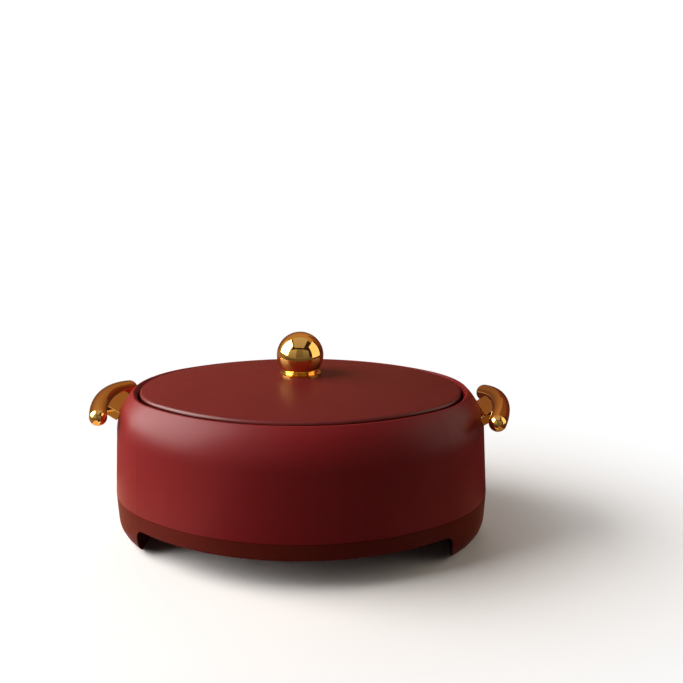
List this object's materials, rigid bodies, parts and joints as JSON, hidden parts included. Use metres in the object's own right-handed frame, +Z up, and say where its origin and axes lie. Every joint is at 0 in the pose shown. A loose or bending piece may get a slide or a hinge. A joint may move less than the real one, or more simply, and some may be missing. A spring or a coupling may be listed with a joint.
{
  "type": "insulated casserole",
  "caption": "Oval insulated serving casserole with a lift-off domed lid, a ball knob, bowed bar handles and a dark base ring with arched feet.",
  "frame": {"origin": "on the table, under the middle of the pot", "axes": "+X towards the right handle, +Y towards the back, +Z up"},
  "size_m": [0.3176, 0.2166, 0.1559],
  "materials": {
    "body_plastic": "satin maroon moulding",
    "lid_plastic": "satin maroon moulding, a little browner than the body",
    "base_plastic": "matte dark maroon moulding",
    "gold": "mirror-polished gold plating",
    "steel": "brushed stainless steel",
    "screw_steel": "zinc-plated steel",
    "foam": "rigid polyurethane foam",
    "pad_rubber": "matte rubber"
  },
  "bodies": {
    "pot": {"outer_shell": "body_plastic", "liner_bowl": "steel", "body_insulation": "foam", "base_ring": "base_plastic", "base_screws": "screw_steel", "foam_plug": "base_plastic", "foot_pads": "pad_rubber", "handle_bar_right": "gold", "handle_bracket_right": "gold", "handle_strip_right": "screw_steel", "handle_screws_right": "screw_steel", "handle_bar_left": "gold", "handle_bracket_left": "gold", "handle_strip_left": "screw_steel", "handle_screws_left": "screw_steel"},
    "lid": {"lid_cover": "lid_plastic", "lid_liner": "steel", "lid_insulation": "foam", "knob_collar": "gold", "knob_ball": "gold", "knob_screw": "screw_steel", "knob_washer": "screw_steel"}
  },
  "joints": [
    {"name": "lid_lift", "type": "slide", "parent": "pot", "child": "lid", "axis": [0, 0, 1], "range_m": [0, 0.15]}
  ]
}
